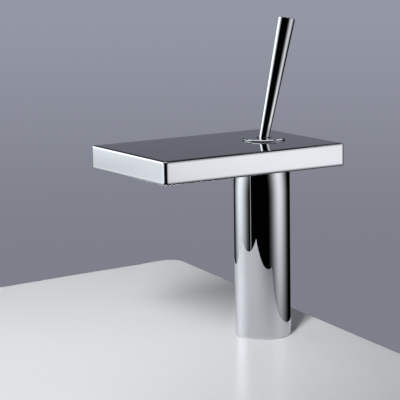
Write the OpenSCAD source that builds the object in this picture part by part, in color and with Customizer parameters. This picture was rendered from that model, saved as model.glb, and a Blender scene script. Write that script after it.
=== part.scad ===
// Deck-mounted waterfall basin faucet: a flat rectangular spout on a round column, with a pin
// lever that leans back to open the water and swivels to mix it. Millimetres, +Z up, spout
// towards -Y. The origin is the centre of the column's foot, on the deck.

/* [Column] */
// Outside diameter of the column
column_d = 48; // [47:0.5:60]
// Wall of the column tube
column_wall = 2.2; // [1.5:0.1:2.6]
// Height of the column tube, from its gasket to the underside of the spout
column_h = 149; // [120:1:260]
// Thickness of the gasket under the foot
gasket_t = 1; // [0.6:0.1:2]

/* [Spout] */
// Width of the spout, side to side
spout_w = 120; // [100:1:160]
// Reach from the column's axis to the front face
spout_reach = 131.5; // [110:0.5:200]
// Distance from the column's axis to the rear face
spout_rear = 43.5; // [40:0.5:70]
// Height of the spout's side faces
spout_h = 19; // [18:0.1:24]
// Wall of the spout shell's sides
shell_wall = 2; // [1.5:0.1:3]
// Thickness of the spout shell's top
shell_top = 2.5; // [1.5:0.1:3]
// Radius of the four upright corners
corner_r = 3; // [2:0.5:8]
// Radius of the arris round the top
top_arris = 1.5; // [0.4:0.1:1.9]
// Radius of the arris round the underside
low_arris = 0.8; // [0.3:0.1:1.4]
// Thickness of the underside plate
base_t = 2.5; // [2:0.1:3]
// Gap round the underside plate
base_gap = 0.15; // [0.05:0.05:0.5]

/* [Water outlet] */
// Distance from the waterway's side wall to the end of the slot that the water falls from
slot_inset = 2; // [1.8:0.1:20]
// Depth of the slot, front to back
slot_depth = 5; // [4:0.5:8]
// Width of one cell of the flow straightener
cell_w = 3; // [2:0.1:5]
// Wall between the cells
cell_wall = 0.8; // [0.5:0.1:1.5]
// Wall of the waterway moulding
waterway_wall = 2; // [1.5:0.1:3]
// Thickness of the gasket under the waterway
waterway_gasket_t = 0.8; // [0.5:0.1:1.2]

/* [Cartridge] */
// Outside diameter of the cartridge
cartridge_d = 25; // [24:0.5:26]
// Depth of the lever's pivot below the spout's top
pivot_drop = 10.5; // [10:0.1:12]
// Thickness of each ceramic disc
ceramic_t = 3; // [2:0.1:4]
// Height of the cartridge's port block
port_block_h = 10; // [9:0.5:14]
// Diameter of the lever's pivot pin
pivot_pin_d = 2.5; // [2:0.1:3]
// Length of the lever's lower arm, from pivot to ball
arm_l = 10; // [9:0.1:10.4]

/* [Lever] */
// Lean of the lever at rest, from upright
lean_rest = 13.5; // [0:0.5:22]
// Lean of the lever with the water fully on
lean_open = 22.5; // [22.5:0.5:24]
// Length of the rod above the spout's top, along its axis
rod_l = 104.5; // [60:1:140]
// Diameter of the rod where it meets the spout's top
rod_low_d = 8.5; // [8:0.1:8.8]
// Diameter of the rod at its free end
rod_top_d = 14.9; // [9:0.1:18]
// Diameter of the flat disc that covers the lever's hole
cover_d = 37; // [35:0.5:46]
// Thickness of the cover disc
cover_t = 1.5; // [1:0.1:2]
// Diameter of the rubber seal in the cover disc
seal_d = 13; // [12.5:0.1:15]

/* [Deck fixing] */
// Thickness of the deck that the fixing is drawn on
deck_t = 20; // [5:1:35]
// Diameter of the fixing stud
stud_d = 8; // [6:1:10]
// Length of the fixing stud
stud_l = 72; // [70:1:120]
// Thread radius of each inlet
inlet_r = 4.6; // [4.2:0.1:5]
// Depth of each inlet's thread
inlet_depth = 9; // [7:0.5:10]

/* [Hidden] */
$fn = 64;
over = 0.5;            // how far a cutting solid runs past the face that it cuts
slip = 0.1;            // radial gap of a piece that slides into its seat
snug = 0.05;           // radial gap of a screwed or pressed joint, drawn without its thread
press = 0.02;          // radial gap of a tight pin or an O-ring in its groove

// Levels
foot_z = gasket_t;
under_z = foot_z + column_h;
base_top_z = under_z + base_t;
top_z = under_z + spout_h;
ceiling_z = top_z - shell_top;
pivot_z = top_z - pivot_drop;

// Column, with the brass foot block in its lower end
column_r = column_d / 2;
tube_r = column_r - column_wall;
core_r = tube_r - slip;
foot_bevel = 0.4;
foot_block_h = 18;
foot_block_z = foot_z + foot_block_h;
gasket_seat = 3.2;     // width of the foot block's rim that stands on the gasket
gasket_inset = 0.6;    // from the column's face in to the gasket's

// Spout shell, and the screws that hold the underside plate to it
front_y = -spout_reach;
rear_y = spout_rear;
inner_w = spout_w - 2 * shell_wall;
inner_r = max(corner_r - shell_wall, 0.5);
screw_r = 1.5;
screw_head_r = 2.75;
screw_bite = 6;
screw_l = base_t + screw_bite;
post_r = 2.9;
head_gap = 0.65;       // from a screw's head to the shell's wall
post_x = inner_w / 2 - screw_head_r - head_gap;
post_end = 23.5;       // from the spout's end faces to the first and last post
post_pitch = (spout_reach + spout_rear - 2 * post_end) / 3;
post_ys = [for (i = [0:3]) front_y + post_end + i * post_pitch];
lever_hole_r = 12;

// Lever, measured along its own axis from the pivot
rod_low_r = rod_low_d / 2;
rod_top_r = rod_top_d / 2;
plate_s = pivot_drop / cos(lean_rest);
rod_low_s = 9;
rod_top_s = plate_s + rod_l;
rod_taper = (rod_top_r - rod_low_r) / rod_l;
rod_bevel = 0.4;
stem_r = 3.2;
tip_r = 2.5;
tip_l = 6;             // of the spindle's end that the rod screws on
tip_s = rod_low_s + tip_l;
hub_r = 4.2;
hub_half = 3.2;
arm_r = 1.5;
ball_r = 2.4;
pin_r = pivot_pin_d / 2;

// Cover disc, which slides on the spout with the lever
cover_gap = 0.1;
cover_z = top_z + cover_gap;
cover_mid_z = cover_z + cover_t / 2;
cover_y = (cover_mid_z - pivot_z) * tan(lean_rest);
cover_bevel = 0.4 * cover_t;      // round the disc's upper edge
cover_undercut = 0.45 * cover_t;  // the slope under its rim
seal_r = seal_d / 2;
seal_room = 1;         // round the rod
seal_bore_r = rod_low_r + seal_room;

// Cartridge: a housing with a wide drum and a narrow neck, and a guide that turns in both
cart_r = cartridge_d / 2;
cart_wall = 1.7;
drum_r = cart_r - cart_wall;
neck_wall = 1.6;
guide_gap = 0.3;
guide_step = 1.5;      // from the guide's drum in to its neck
guide_drum_r = drum_r - guide_gap;
guide_neck_r = guide_drum_r - guide_step;
neck_bore_r = guide_neck_r + guide_gap;
neck_r = neck_bore_r + neck_wall;
guide_rise = 5;        // from the pivot up to the guide's top
neck_rise = 3;         // from the pivot up to the housing's top
shoulder_drop = 4.3;   // from the pivot down to the housing's shoulder
shoulder_t = 1.5;
ball_room = 4;         // from the ball's middle down to the drum's foot
guide_top_z = pivot_z + guide_rise;
neck_top_z = pivot_z + neck_rise;
shoulder_z = pivot_z - shoulder_drop;
drum_top_z = shoulder_z - shoulder_t;
drum_low_z = pivot_z - arm_l - ball_room;
stop_deg = 56;         // half of the notch that limits the swivel, measured from the front
stop_rise = 1;         // from the pivot up to the notch's floor
stop_z = pivot_z + stop_rise;
lug_w = 3;

// The ball's travel from upright to fully open, and the stack of discs that it drives
ball_travel = arm_l * sin(lean_open);
ball_rest_y = -arm_l * sin(lean_rest);
socket_r = ball_r + 2 * slip;
boss_wall = 1.2;
boss_r = socket_r + boss_wall;
boss_top_z = pivot_z - arm_l + ball_r;
stack_y = ball_rest_y + ball_travel / 2;
carrier_gap = 0.45;    // left to the drum's wall at either end of the travel
carrier_t = 3.6;
carrier_r = drum_r - ball_travel / 2 - carrier_gap;
carrier_top_z = drum_low_z - guide_gap;
carrier_z = carrier_top_z - carrier_t;
moving_z = carrier_z - ceramic_t;
fixed_z = moving_z - ceramic_t;
port_seal_t = 0.8;
port_flange_h = 4;
port_block_z = fixed_z - port_block_h;
port_flange_z = port_block_z + port_flange_h;
seat_z = port_block_z - port_seal_t;

// Ports of the cartridge: hot and cold to the sides, mixed water to the front
port_r = 2.6;
port_x = 5;
port_y = 2.5;
mix_y = -5.6;
port_seal_gap = 0.2;   // from a port's rim to its seal
port_seal_w = 1.2;
port_step = 0.3;       // the fixed disc's ports are this much smaller

// Pocket under the moving disc, measured from the disc's axis
pocket_r = 2.8;
pocket_y = -3.4;
horn_r = 1.2;
horn_x = 4.2;
horn_y = 4;

// Valve head: a core in the column's upper end, under a crown that clamps the spout down
head_core_h = 19;      // below the cartridge's seat
head_low_z = seat_z - head_core_h;
crown_lap = 3;         // past the column's face
crown_r = column_r + crown_lap;
nut_hex_h = 3;
nut_headroom = 1;      // under the spout's ceiling
crown_top_z = ceiling_z - nut_hex_h - nut_headroom;
nut_wall = 1.1;
nut_r = cart_r + nut_wall;
channel_r = 2.6;
channel_wall = 0.9;    // between the nut's thread and the channel
channel_y = -(nut_r + snug + channel_wall + channel_r);
channel_end = 3;       // how far the upright bores run past the cross bores
cross_drop = 6;        // below the cartridge's seat
cross_z = seat_z - cross_drop;
cross_r = 2.2;

// Nipple that takes the mixed water from the crown to the waterway
nipple_r = 3.4;
nipple_bore_r = 2.2;
nipple_lift = 0.7;     // above the waterway's gasket
nipple_z = base_top_z + waterway_gasket_t + nipple_r + nipple_lift;
nipple_bite = 6.5;     // into the crown
nipple_in_y = nipple_bite - crown_r;
ring_groove = 0.7;
ring_groove_w = 1;

// Risers and their O-rings, and the tie bolts that pull the head down to the foot block
riser_x = 8;
riser_y = 6.5;
riser_r = 5;
riser_wall = 1;
riser_end_gap = 0.2;
socket_depth = 7;
socket_low_z = foot_block_z - socket_depth;
socket_top_z = head_low_z + socket_depth;
passage_r = 3.2;
passage_top = 4;       // below the cartridge's seat
port_drop = 8;
inlet_end_r = inlet_r - 2 * slip;
oring_r = 0.8;
oring_from_end = 3.8;
tie_r = 2.5;
tie_head_r = 4.2;
tie_head_h = 5;
tie_socket_r = 2.3;
tie_recess = 1;
tie_bite = 14;
tie_angle = -22;
tie_wall = 1.2;        // outside a bolt's head
tie_at = core_r - tie_head_r - tie_wall;

// Waterway, held to the underside plate by four lugs
waterway_gap = 0.2;    // to the posts, and round its screws' lugs
waterway_half_w = post_x - post_r - waterway_gap;
waterway_clear = 10;   // from the crown to the waterway
waterway_back_y = -crown_r - waterway_clear;
front_gap = 1.2;       // from the shell's front wall
waterway_front_y = front_y + shell_wall + front_gap;
waterway_z = base_top_z + waterway_gasket_t;
headroom = 1.6;        // under the spout's ceiling
waterway_top_z = ceiling_z - headroom;
waterway_r = 2;
back_wall = 5;
cavity_half_w = waterway_half_w - waterway_wall;
cavity_back_y = waterway_back_y - back_wall;
cavity_front_y = waterway_front_y + waterway_wall;
rib_w = 1.5;
rib_gap = 0.8;         // under the ribs that spread the water
rib_fan = 36;          // angle of the outermost ribs
rib_share = 0.55;      // of the way from the back wall to the slot
rib_lead = 0.25;       // from the back wall to the ribs, in rib lengths
lug_r = 3.1;
lug_t = 2;
lug_side_x = inner_w / 2 - lug_r - 2 * waterway_gap;
lug_side_y = post_ys[0] + post_pitch / 2;
lug_back_x = 20;
lug_back_y = waterway_back_y + lug_r + waterway_gap;
small_screw_r = 1.25;
small_screw_bite = 2;
small_head_h = 1.4;
nipple_short = 1;      // of the waterway's cavity
nipple_end_y = cavity_back_y + nipple_short;
ring_from_crown = 3;   // from the crown's face in to the first O-ring
nipple_ring_ys = [-crown_r + ring_from_crown, waterway_back_y - back_wall / 2];

// Slot in the underside plate, and the flow straightener that hangs in it
lip = 1.2;             // the straightener's flange, past the slot
slot_half_w = cavity_half_w - slot_inset;
slot_front_y = cavity_front_y + lip + 2 * slip;
slot_back_y = slot_front_y + slot_depth;
comb_gap = 0.15;
comb_rise = 0.4;       // from the spout's underside up to the straightener

// Deck fixing
stud_r = stud_d / 2;
stud_y = -10;
stud_bite = 14;
pad_t = 3;
washer_t = 2.5;
fixing_nut_h = 14;
horseshoe_lap = 1;      // past the column's face
horseshoe_r = column_r + horseshoe_lap;
horseshoe_half_gap = 15;
horseshoe_from_stud = 7;
stud_room = 0.3;        // round the stud, in both horseshoes
fixing_nut_ratio = 1.85; // of its corners' circle to the stud

// ---------------------------------------------------------------- shared shapes

// A rod or disc between two heights, its axis on Z
module rod(r, z0, z1) {
    translate([0, 0, z0]) cylinder(r = r, h = z1 - z0);
}

// A tube between two heights
module pipe(r, bore, z0, z1) {
    difference() {
        rod(r, z0, z1);
        rod(bore, z0 - over, z1 + over);
    }
}

// An O-ring round the Z axis
module oring(mid_r, r) {
    rotate_extrude() translate([mid_r, 0]) circle(r, $fn = 24);
}

// A rectangle from y0 to y1, centred on X, with rounded corners
module round_rect(w, y0, y1, r) {
    translate([-w / 2 + r, y0]) square([w - 2 * r, y1 - y0]);
    translate([-w / 2, y0 + r]) square([w, y1 - y0 - 2 * r]);
    for (x = [-w / 2 + r, w / 2 - r], y = [y0 + r, y1 - r])
        translate([x, y]) circle(r, $fn = 48);
}

module round_slab(w, y0, y1, r, z0, z1) {
    translate([0, 0, z0]) linear_extrude(z1 - z0) round_rect(w, y0, y1, r);
}

// Section of the spout from x0 to x1, with its outer corner rounded at x1
module edge_section(x0, x1, z0, z1) {
    translate([x0, z0]) square([x1 - top_arris - x0, z1 - z0]);
    translate([x0, z0 + low_arris]) square([x1 - x0, z1 - z0 - low_arris - top_arris]);
    translate([x0, z0]) square([x1 - low_arris - x0, low_arris + 0.1]);
    translate([x1 - top_arris, z1 - top_arris]) circle(top_arris, $fn = 32);
    translate([x1 - low_arris, z0 + low_arris]) circle(low_arris, $fn = 32);
}

// The spout's outer form: a slab with rounded upright corners and a soft arris all round
module spout_form() {
    mid_y = (front_y + rear_y) / 2;
    half_l = (rear_y - front_y) / 2;
    for (side = [0, 1]) mirror([side, 0, 0])
        translate([0, rear_y - corner_r, 0]) rotate([90, 0, 0])
            linear_extrude(rear_y - front_y - 2 * corner_r)
                edge_section(-1, spout_w / 2, under_z, top_z);
    for (end = [0, 1]) translate([0, mid_y, 0]) mirror([0, end, 0])
        rotate([90, 0, 90]) translate([0, 0, corner_r - spout_w / 2])
            linear_extrude(spout_w - 2 * corner_r)
                edge_section(-1, half_l, under_z, top_z);
    for (x = [corner_r - spout_w / 2, spout_w / 2 - corner_r],
         y = [front_y + corner_r, rear_y - corner_r])
        translate([x, y, 0]) rotate_extrude() edge_section(0, corner_r, under_z, top_z);
}

// Puts its children at each of the spout's screws
module at_base_screws() {
    for (x = [-post_x, post_x], y = post_ys) translate([x, y, 0]) children();
}

// Puts its children at each of the waterway's screws
module at_waterway_screws() {
    for (side = [-1, 1]) {
        translate([side * lug_side_x, lug_side_y, 0]) children();
        translate([side * lug_back_x, lug_back_y, 0]) children();
    }
}

// Puts its children at both risers
module at_risers() {
    for (x = [-riser_x, riser_x]) translate([x, riser_y, 0]) children();
}

// Puts its children at both tie bolts
module at_tie_bolts() {
    for (a = [tie_angle, 180 - tie_angle])
        translate([tie_at * cos(a), tie_at * sin(a), 0]) children();
}

// Puts its children in the lever's own frame: the pivot at its origin, the rod along +Z
module on_lever() {
    translate([0, 0, pivot_z]) rotate([-lean_rest, 0, 0]) children();
}

// ---------------------------------------------------------------- spout

module spout_shell() color("gainsboro") {
    difference() {
        spout_form();
        round_slab(inner_w, front_y + shell_wall, rear_y - shell_wall, inner_r,
                   under_z - over, ceiling_z);
        rod(lever_hole_r, ceiling_z - over, top_z + over);
    }
    at_base_screws() difference() {
        rod(post_r, base_top_z, ceiling_z + over);
        rod(screw_r + snug, base_top_z - over, under_z + screw_l + 1);
    }
}

module spout_base() color("silver") difference() {
    round_slab(inner_w - 2 * base_gap, front_y + shell_wall + base_gap,
               rear_y - shell_wall - base_gap, inner_r, under_z, base_top_z);
    rod(core_r + slip, under_z - over, base_top_z + over);
    translate([-slot_half_w, slot_front_y, under_z - over])
        cube([2 * slot_half_w, slot_depth, base_t + 2 * over]);
    at_base_screws() {
        rod(screw_r + snug, under_z, base_top_z + over);
        translate([0, 0, under_z])
            cylinder(r1 = screw_head_r + snug, r2 = screw_r + snug, h = screw_head_r - screw_r);
    }
    at_waterway_screws() rod(small_screw_r + snug, base_top_z - small_screw_bite, base_top_z + over);
}

// Countersunk screws that point up, their heads flush with the underside
module base_screws() color("lightgray") at_base_screws() {
    translate([0, 0, under_z])
        cylinder(r1 = screw_head_r, r2 = screw_r, h = screw_head_r - screw_r);
    rod(screw_r, under_z, under_z + screw_l);
}

// Outline of the waterway's foot, with its lugs
module waterway_foot() {
    round_rect(2 * waterway_half_w, waterway_front_y, waterway_back_y, waterway_r);
    for (side = [0, 1]) mirror([side, 0]) {
        translate([lug_side_x, lug_side_y]) circle(lug_r);
        translate([waterway_half_w - 1, lug_side_y - lug_r])
            square([lug_side_x - waterway_half_w + 1, 2 * lug_r]);
        translate([lug_back_x, lug_back_y]) circle(lug_r);
        translate([lug_back_x - lug_r, waterway_back_y - 1])
            square([2 * lug_r, lug_back_y - waterway_back_y + 1]);
    }
}

// The room inside the waterway, from z0 to z1
module waterway_room(z0, z1) {
    translate([-cavity_half_w, cavity_front_y, z0])
        cube([2 * cavity_half_w, cavity_back_y - cavity_front_y, z1 - z0]);
}

// Ribs that fan out from the nipple and spread the water across the slot
module waterway_ribs() {
    rib_l = (cavity_back_y - slot_back_y) * rib_share;
    for (a = [-rib_fan:rib_fan / 2:rib_fan]) translate([0, cavity_back_y, waterway_z + rib_gap])
        rotate(a) translate([-rib_w / 2, -rib_l * (1 + rib_lead), 0])
            cube([rib_w, rib_l, waterway_top_z - waterway_z - rib_gap - over]);
}

module waterway() color("dimgray") difference() {
    union() {
        difference() {
            round_slab(2 * waterway_half_w, waterway_front_y, waterway_back_y, waterway_r,
                       waterway_z, waterway_top_z);
            waterway_room(waterway_z - over, waterway_top_z - waterway_wall);
        }
        waterway_ribs();
        difference() {
            translate([0, 0, waterway_z]) linear_extrude(lug_t) waterway_foot();
            waterway_room(waterway_z - over, waterway_z + lug_t + over);
        }
    }
    translate([0, waterway_back_y + over, nipple_z]) rotate([90, 0, 0])
        cylinder(r = nipple_r + snug, h = back_wall + 2 * over);
    at_waterway_screws() rod(small_screw_r + snug, waterway_z - over, waterway_z + lug_t + over);
}

module waterway_gasket() color("black") difference() {
    translate([0, 0, base_top_z]) linear_extrude(waterway_gasket_t) waterway_foot();
    waterway_room(base_top_z - over, waterway_z + over);
    at_waterway_screws() rod(small_screw_r + snug, base_top_z - over, waterway_z + over);
}

module waterway_screws() color("lightgray") at_waterway_screws() {
    head_z = waterway_z + lug_t;
    rod(small_screw_r, base_top_z - small_screw_bite + slip, head_z + slip);
    rod(small_screw_r + 1, head_z, head_z + small_head_h);
}

module flow_straightener() color("white") {
    pitch = cell_w + cell_wall;
    count = floor((2 * (slot_half_w - comb_gap) - cell_wall) / pitch);
    first_x = -(count * pitch - cell_wall) / 2;
    cell_depth = slot_depth - 2 * comb_gap - 2 * cell_wall;
    difference() {
        union() {
            translate([comb_gap - slot_half_w, slot_front_y + comb_gap, under_z + comb_rise])
                cube([2 * (slot_half_w - comb_gap), slot_depth - 2 * comb_gap, base_t]);
            translate([-slot_half_w - lip, slot_front_y - lip, base_top_z])
                cube([2 * (slot_half_w + lip), slot_depth + 2 * lip, lip]);
        }
        for (i = [0:count - 1])
            translate([first_x + i * pitch, slot_front_y + comb_gap + cell_wall, under_z])
                cube([cell_w, cell_depth, base_t + lip + over]);
    }
}

// Puts its children in a frame whose +Z runs forwards along the nipple's axis, from y0
module along_nipple(y0) {
    translate([0, y0, nipple_z]) rotate([90, 0, 0]) children();
}

module outlet_nipple() color("goldenrod") {
    start_y = nipple_in_y - 2 * slip;
    difference() {
        along_nipple(start_y) rod(nipple_r, 0, start_y - nipple_end_y);
        along_nipple(start_y) rod(nipple_bore_r, -over, start_y - nipple_end_y + over);
        for (y = nipple_ring_ys) along_nipple(y)
            pipe(nipple_r + over, nipple_r - ring_groove, -ring_groove_w / 2, ring_groove_w / 2);
    }
}

module nipple_orings() color("black") for (y = nipple_ring_ys)
    along_nipple(y) oring(nipple_r - ring_groove / 2 + press, ring_groove / 2);

// ---------------------------------------------------------------- column

module column_tube() color("gainsboro") rotate_extrude() polygon([
    [tube_r, foot_z], [column_r - foot_bevel, foot_z], [column_r, foot_z + foot_bevel],
    [column_r, under_z], [tube_r, under_z]]);

module foot_gasket() color("black") pipe(column_r - gasket_inset, core_r - gasket_seat, 0, gasket_t);

module foot_block() color("goldenrod") difference() {
    rod(core_r, foot_z, foot_block_z);
    at_risers() {
        rod(inlet_r, foot_z - over, foot_z + inlet_depth);
        rod(inlet_end_r, foot_z, foot_block_z);
        rod(riser_r + snug, socket_low_z, foot_block_z + over);
        riser_ring_groove(socket_low_z + oring_from_end);
    }
    translate([0, stud_y, 0]) rod(stud_r + snug, foot_z - over, foot_z + stud_bite + over);
    at_tie_bolts() {
        rod(tie_r + snug, foot_z, foot_block_z + over);
        rod(tie_head_r + slip, foot_z - over, foot_z + tie_recess + tie_head_h);
    }
}

// The groove round a riser for one O-ring, its middle at z
module riser_ring_groove(z) {
    rod(riser_r + 2 * oring_r + snug, z - oring_r - slip, z + oring_r + slip);
}

module riser() {
    pipe(riser_r, riser_r - riser_wall, socket_low_z + riser_end_gap, socket_top_z - riser_end_gap);
}

module riser_hot() color("peru") translate([-riser_x, riser_y, 0]) riser();

module riser_cold() color("peru") translate([riser_x, riser_y, 0]) riser();

module riser_orings() color("black") at_risers()
    for (z = [socket_low_z + oring_from_end, socket_top_z - oring_from_end])
        translate([0, 0, z]) oring(riser_r + oring_r + press, oring_r);

module tie_bolts() color("darkgray") at_tie_bolts() {
    head_z = foot_z + tie_recess;
    difference() {
        rod(tie_head_r, head_z, head_z + tie_head_h);
        translate([0, 0, head_z - over])
            cylinder(r = tie_socket_r, h = tie_head_h / 2 + over, $fn = 6);
    }
    rod(tie_r, head_z + tie_head_h, head_low_z + tie_bite - over);
}

module valve_head() color("goldenrod") difference() {
    union() {
        rod(core_r, head_low_z, base_top_z + over);
        rod(crown_r, base_top_z, crown_top_z);
    }
    rod(cart_r + slip, seat_z, shoulder_z + over);
    rod(nut_r + snug, shoulder_z, crown_top_z + over);
    at_tie_bolts() rod(tie_r + snug, head_low_z - over, head_low_z + tie_bite);
    at_risers() {
        rod(riser_r + snug, head_low_z - over, socket_top_z);
        riser_ring_groove(socket_top_z - oring_from_end);
    }
    supply_passages();
    mixed_water_channel();
}

// From each riser, in and up to the cartridge's port
module supply_passages() {
    for (side = [-1, 1]) {
        translate([side * (riser_x + port_x) / 2, (riser_y + port_y) / 2, 0])
            rod(passage_r, socket_top_z - over, seat_z - passage_top);
        translate([side * port_x, port_y, 0]) rod(port_r, seat_z - port_drop, seat_z + over);
    }
}

// From the cartridge's mixed port, down, forwards, up beside the cup and out to the nipple
module mixed_water_channel() {
    translate([0, mix_y, 0]) rod(port_r, cross_z - channel_end, seat_z + over);
    translate([0, mix_y, cross_z]) rotate([90, 0, 0]) rod(cross_r, 0, mix_y - channel_y);
    translate([0, channel_y, 0]) rod(channel_r, cross_z - channel_end, nipple_z + channel_end);
    along_nipple(channel_y) rod(nipple_bore_r, 0, channel_y - nipple_in_y + over);
    along_nipple(nipple_in_y) rod(nipple_r + snug, 0, crown_r);
}

// ---------------------------------------------------------------- cartridge

// Puts its children at each port of the cartridge
module at_ports() {
    for (side = [-1, 1]) translate([side * port_x, port_y, 0]) children();
    translate([0, mix_y, 0]) children();
}

module cartridge_housing() color("whitesmoke") difference() {
    union() {
        rod(cart_r, port_flange_z, shoulder_z);
        rod(neck_r, shoulder_z - over, neck_top_z);
    }
    rod(drum_r, port_flange_z - over, drum_top_z);
    rod(neck_bore_r, drum_top_z - over, neck_top_z + over);
    translate([0, 0, stop_z]) rotate(-90 - stop_deg) rotate_extrude(angle = 2 * stop_deg)
        translate([neck_bore_r - over, 0]) square([neck_wall + 2 * over, neck_top_z - stop_z + over]);
}

module port_block() color("white") difference() {
    union() {
        rod(cart_r, port_block_z, port_flange_z);
        rod(drum_r - slip, port_block_z, fixed_z - port_seal_t);
    }
    at_ports() rod(port_r, port_block_z - over, fixed_z + over);
}

module port_seals() color("black") at_ports() {
    bore = port_r + port_seal_gap;
    for (z = [seat_z, fixed_z - port_seal_t]) pipe(bore + port_seal_w, bore, z, z + port_seal_t);
}

module fixed_disc() color("ivory") difference() {
    rod(drum_r - 2 * slip, fixed_z, moving_z);
    at_ports() rod(port_r - port_step, fixed_z - over, moving_z + over);
}

// The pocket's outline: round over the outlet, with a horn towards each inlet
module pocket_outline() {
    translate([0, pocket_y]) circle(pocket_r);
    for (side = [0, 1]) mirror([side, 0]) {
        translate([horn_x, horn_y]) circle(horn_r);
        polygon([[-over, pocket_y - 0.2 * pocket_r], [0.93 * pocket_r, pocket_y - 0.2 * pocket_r],
                 [horn_x + 0.7 * horn_r, horn_y], [horn_x - 0.7 * horn_r, horn_y + 0.7 * horn_r],
                 [-over, horn_y + 0.7 * horn_r]]);
    }
}

// The moving disc has a pocket under it that joins the inlets to the outlet as it slides
module moving_disc() color("ivory") translate([0, stack_y, 0]) difference() {
    rod(carrier_r - 2 * slip, moving_z, carrier_z);
    translate([0, 0, moving_z - over]) linear_extrude(over + ceramic_t / 2) pocket_outline();
}

module disc_carrier() color("lightsteelblue") difference() {
    union() {
        translate([0, stack_y, 0]) rod(carrier_r, carrier_z, carrier_top_z);
        translate([0, ball_rest_y, 0]) rod(boss_r, carrier_z, boss_top_z);
    }
    translate([0, ball_rest_y, 0])
        rod(socket_r, pivot_z - arm_l - ball_r - guide_gap, boss_top_z + over);
}

module mixing_guide() color("lightsteelblue") {
    room = 0.35;      // round the hub, the ball's boss and the leaning stem
    stem_gap = 0.25;
    stem_half = stem_r + stem_gap;
    stem_y = (guide_top_z - pivot_z) * tan(lean_open) + stem_r / cos(lean_open) + room;
    boss_half = boss_r + room;
    difference() {
        union() {
            rod(guide_drum_r, drum_low_z, drum_top_z - guide_gap);
            rod(guide_neck_r, drum_top_z - over, guide_top_z);
            translate([-lug_w / 2, 2 * slip - neck_r, stop_z + guide_gap])
                cube([lug_w, neck_wall + 1, neck_top_z - stop_z - guide_gap]);
        }
        translate([-stem_half, -hub_r - room, pivot_z - hub_r - 2 * room])
            cube([2 * stem_half, hub_r + room + stem_y, guide_top_z]);
        translate([-boss_half, -ball_travel - boss_half, drum_low_z - over])
            cube([2 * boss_half, ball_travel + 2 * boss_half,
                  pivot_z - hub_r - room - drum_low_z + over]);
        translate([-guide_drum_r, 0, pivot_z]) rotate([0, 90, 0]) rod(pin_r + press, 0, 2 * guide_drum_r);
    }
}

module pivot_pin() color("silver") translate([guide_gap - guide_neck_r, 0, pivot_z])
    rotate([0, 90, 0]) rod(pin_r, 0, 2 * (guide_neck_r - guide_gap));

module cartridge_nut() color("goldenrod") difference() {
    hex_z = crown_top_z + guide_gap;
    union() {
        rod(nut_r, shoulder_z, hex_z + slip);
        translate([0, 0, hex_z]) cylinder(r = nut_r / cos(30), h = nut_hex_h, $fn = 6);
    }
    rod(neck_r + 2 * slip, shoulder_z - over, hex_z + nut_hex_h + over);
}

// ---------------------------------------------------------------- lever

module lever_spindle() color("silver") on_lever() difference() {
    union() {
        rod(stem_r, 0, rod_low_s);
        rod(tip_r, rod_low_s - over, tip_s);
        rod(arm_r, -arm_l, 0);
        translate([0, 0, -arm_l]) sphere(ball_r);
        rotate([0, 90, 0]) rod(hub_r, -hub_half, hub_half);
    }
    rotate([0, 90, 0]) rod(pin_r + snug, -hub_half - over, hub_half + over);
}

module handle_rod() color("gainsboro") {
    end_r = rod_low_r + rod_taper * (rod_low_s - plate_s);
    on_lever() difference() {
        rotate_extrude() polygon([
            [0, rod_low_s], [end_r - rod_bevel, rod_low_s], [end_r, rod_low_s + rod_bevel],
            [rod_top_r, rod_top_s - rod_bevel], [rod_top_r - rod_bevel, rod_top_s],
            [0, rod_top_s]]);
        rod(tip_r + snug, rod_low_s - over, tip_s + 1);
    }
}

module cover_disc() color("gainsboro") {
    cover_r = cover_d / 2;
    translate([0, cover_y, cover_z]) rotate_extrude() polygon([
        [seal_r + snug, 0], [cover_r - cover_undercut, 0], [cover_r, cover_undercut],
        [cover_r, cover_t - cover_bevel], [cover_r - cover_bevel, cover_t],
        [seal_r + snug, cover_t]]);
}

module disc_seal() color("black") translate([0, cover_y, cover_z])
    pipe(seal_r, seal_bore_r, slip, cover_t - slip);

// ---------------------------------------------------------------- deck fixing

module fixing_stud() color("silver") translate([0, stud_y, 0])
    rod(stud_r, foot_z + stud_bite - stud_l, foot_z + stud_bite);

// A horseshoe plate that the hoses pass through, with a hole for the stud
module horseshoe(z1, thickness) {
    difference() {
        rod(horseshoe_r, z1 - thickness, z1);
        translate([-horseshoe_half_gap, stud_y + horseshoe_from_stud, z1 - thickness - over])
            cube([2 * horseshoe_half_gap, 2 * horseshoe_r, thickness + 2 * over]);
        translate([0, stud_y, 0]) rod(stud_r + stud_room, z1 - thickness - over, z1 + over);
    }
}

module clamp_pad() color("black") horseshoe(-deck_t, pad_t);

module clamp_washer() color("silver") horseshoe(-deck_t - pad_t, washer_t);

module clamp_nut() color("goldenrod") {
    nut_top_z = -deck_t - pad_t - washer_t;
    translate([0, stud_y, 0]) difference() {
        translate([0, 0, nut_top_z - fixing_nut_h])
            cylinder(r = stud_r * fixing_nut_ratio, h = fixing_nut_h, $fn = 6);
        rod(stud_r + snug, nut_top_z - fixing_nut_h - over, nut_top_z + over);
    }
}

spout_shell();
spout_base();
base_screws();
waterway();
waterway_gasket();
waterway_screws();
flow_straightener();
outlet_nipple();
nipple_orings();
column_tube();
foot_gasket();
foot_block();
riser_hot();
riser_cold();
riser_orings();
tie_bolts();
valve_head();
cartridge_housing();
port_block();
port_seals();
fixed_disc();
moving_disc();
disc_carrier();
mixing_guide();
pivot_pin();
cartridge_nut();
lever_spindle();
handle_rod();
cover_disc();
disc_seal();
fixing_stud();
clamp_pad();
clamp_washer();
clamp_nut();
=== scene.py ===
"""Looks for a deck-mounted waterfall basin faucet: a flat spout on a column, with a pin lever.

Metres, +Z up, spout towards -Y, the origin at the middle of the column's foot.
"""

from math import ceil, cos, degrees, pi, radians, sin

import bmesh
import bpy
from mathutils import Matrix, Vector


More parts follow.
